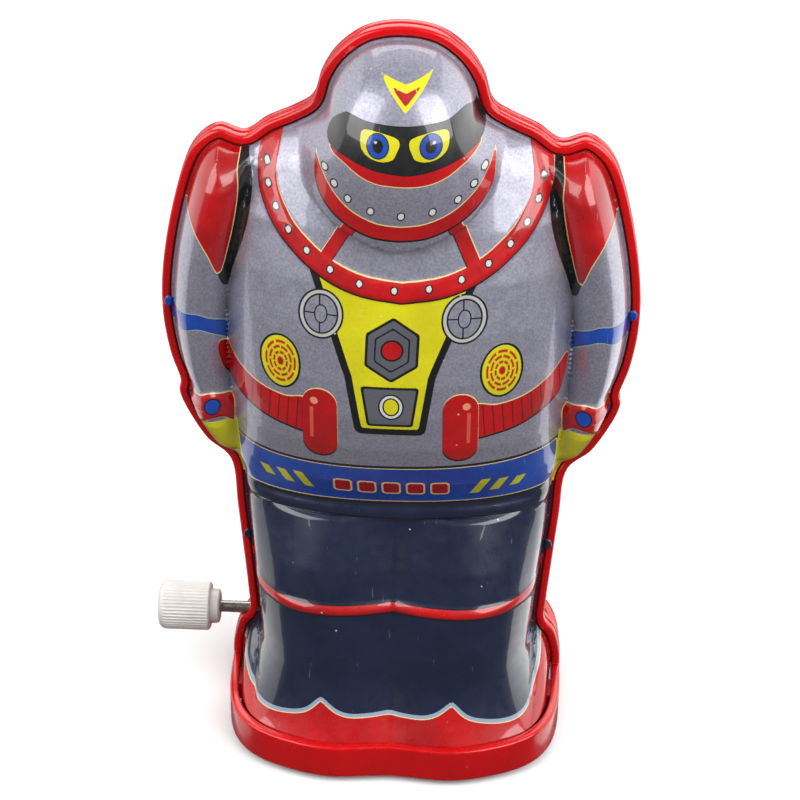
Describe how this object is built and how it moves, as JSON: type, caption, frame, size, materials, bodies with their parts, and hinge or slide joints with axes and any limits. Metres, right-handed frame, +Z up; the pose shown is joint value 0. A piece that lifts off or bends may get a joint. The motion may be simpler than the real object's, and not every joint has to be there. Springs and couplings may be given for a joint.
{
  "type": "wind-up tin toy",
  "caption": "Pressed-tin robot figure in a red plastic frame, on a base with wheels, driven by a spring motor wound by a side knob.",
  "frame": {"origin": "centre of the base plate's flat underside", "axes": "+Z up to the crown of the head, -Y towards the robot's face, -X towards the winding knob"},
  "size_m": [0.079, 0.052, 0.1265],
  "materials": {
    "tin_litho": "printed and clear-lacquered tinplate, glossy",
    "red_plastic": "glossy moulded plastic",
    "white_nylon": "satin moulded nylon",
    "steel": "bright drawn and pressed steel",
    "brass": "stamped brass",
    "spring_steel": "blued spring steel",
    "black_plastic": "moulded plastic",
    "rubber": "soft black rubber"
  },
  "bodies": {
    "root": {"front_shell": "tin_litho", "rear_shell": "tin_litho", "front_frame": "red_plastic", "rear_frame": "red_plastic", "base_housing": "red_plastic", "base_plate": "red_plastic", "motor_plate_left": "steel", "motor_plate_right": "steel", "motor_post_1": "steel", "motor_post_2": "steel", "motor_post_3": "steel", "motor_post_4": "steel", "base_screw_1": "steel", "base_screw_2": "steel", "base_screw_3": "steel", "base_screw_4": "steel", "motor_screw_left": "steel", "motor_screw_right": "steel", "mainspring": "spring_steel"},
    "winding": {"winding_shaft": "steel", "winding_knob": "white_nylon", "main_gear": "brass", "ratchet_wheel": "steel", "click_pawl": "steel"},
    "drive": {"drive_axle": "steel", "drive_pinion": "brass", "drive_wheel_left": "black_plastic", "drive_wheel_right": "black_plastic", "drive_tyre_left": "rubber", "drive_tyre_right": "rubber"},
    "second": {"second_arbor": "steel", "second_pinion": "brass", "second_gear": "brass"},
    "escape": {"escape_arbor": "steel", "escape_pinion": "steel", "escape_wheel": "brass"},
    "pallet": {"pallet_arbor": "steel", "pallet": "steel"},
    "front_wheels": {"front_axle": "steel", "front_wheel_left": "black_plastic", "front_wheel_right": "black_plastic"}
  },
  "joints": [
    {"name": "winding_turn", "type": "hinge", "parent": "root", "child": "winding", "pos_m": [0, 0, 0.0151], "axis": [1, 0, 0], "range_deg": [0, 1440]},
    {"name": "drive_roll", "type": "hinge", "parent": "root", "child": "drive", "pos_m": [0, 0.01085, 0.0052], "axis": [1, 0, 0], "range_deg": [-4800, 0]},
    {"name": "second_turn", "type": "hinge", "parent": "root", "child": "second", "pos_m": [0, -0.00515, 0.02925], "axis": [1, 0, 0], "range_deg": [-4320, 0]},
    {"name": "escape_turn", "type": "hinge", "parent": "root", "child": "escape", "pos_m": [0, 0.00342, 0.03525], "axis": [1, 0, 0], "range_deg": [0, 12960]},
    {"name": "pallet_rock", "type": "hinge", "parent": "root", "child": "pallet", "pos_m": [0, 0.00342, 0.04165], "axis": [1, 0, 0], "range_deg": [-6, 6]},
    {"name": "front_roll", "type": "hinge", "parent": "root", "child": "front_wheels", "pos_m": [0, -0.0175, 0.0032], "axis": [1, 0, 0], "continuous": true}
  ],
  "couplings": [
    {"joint": "drive_roll", "follows": "winding_turn", "ratio": -3.3333},
    {"joint": "second_turn", "follows": "winding_turn", "ratio": -3},
    {"joint": "escape_turn", "follows": "winding_turn", "ratio": 9}
  ]
}
